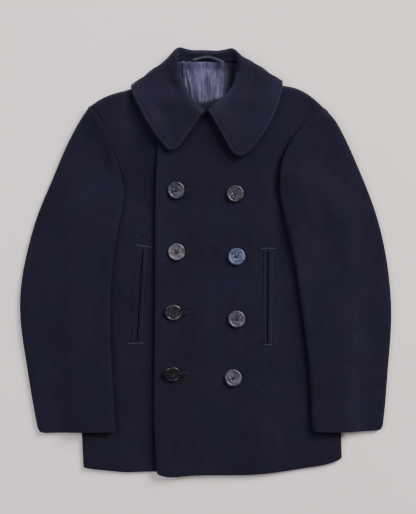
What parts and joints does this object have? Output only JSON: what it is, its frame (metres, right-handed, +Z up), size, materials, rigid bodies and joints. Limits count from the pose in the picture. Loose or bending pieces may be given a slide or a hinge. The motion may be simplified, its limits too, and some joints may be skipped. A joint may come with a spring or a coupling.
{
  "type": "pea coat",
  "caption": "Double-breasted hip-length wool coat laid flat face up, with a wide collar, slit pockets, straight sleeves and large buttons.",
  "frame": {"origin": "centre of the bounding box at the underside, on the surface the coat lies on", "axes": "+Z up from the surface through the coat, +Y from hem to collar, +X to the wearer's left"},
  "size_m": [0.6716, 0.7721, 0.0297],
  "materials": {
    "wool": "thick felted navy wool",
    "lining_satin": "faded grey purple satin",
    "hanger_satin": "dark woven satin tape",
    "button": "worn dark resin"
  },
  "bodies": {
    "root": {"back": "wool", "right_front": "wool", "left_front": "wool", "right_under_sleeve": "wool", "right_upper_sleeve": "wool", "left_under_sleeve": "wool", "left_upper_sleeve": "wool", "collar": "wool", "neck_lining": "lining_satin", "hanger_loop": "hanger_satin", "right_pocket_front_welt": "wool", "right_pocket_side_welt": "wool", "left_pocket_front_welt": "wool", "left_pocket_side_welt": "wool", "button_fastening_1": "button", "button_fastening_2": "button", "button_fastening_3": "button", "button_fastening_4": "button", "button_outer_1": "button", "button_outer_2": "button", "button_outer_3": "button", "button_outer_4": "button"}
  },
  "joints": []
}
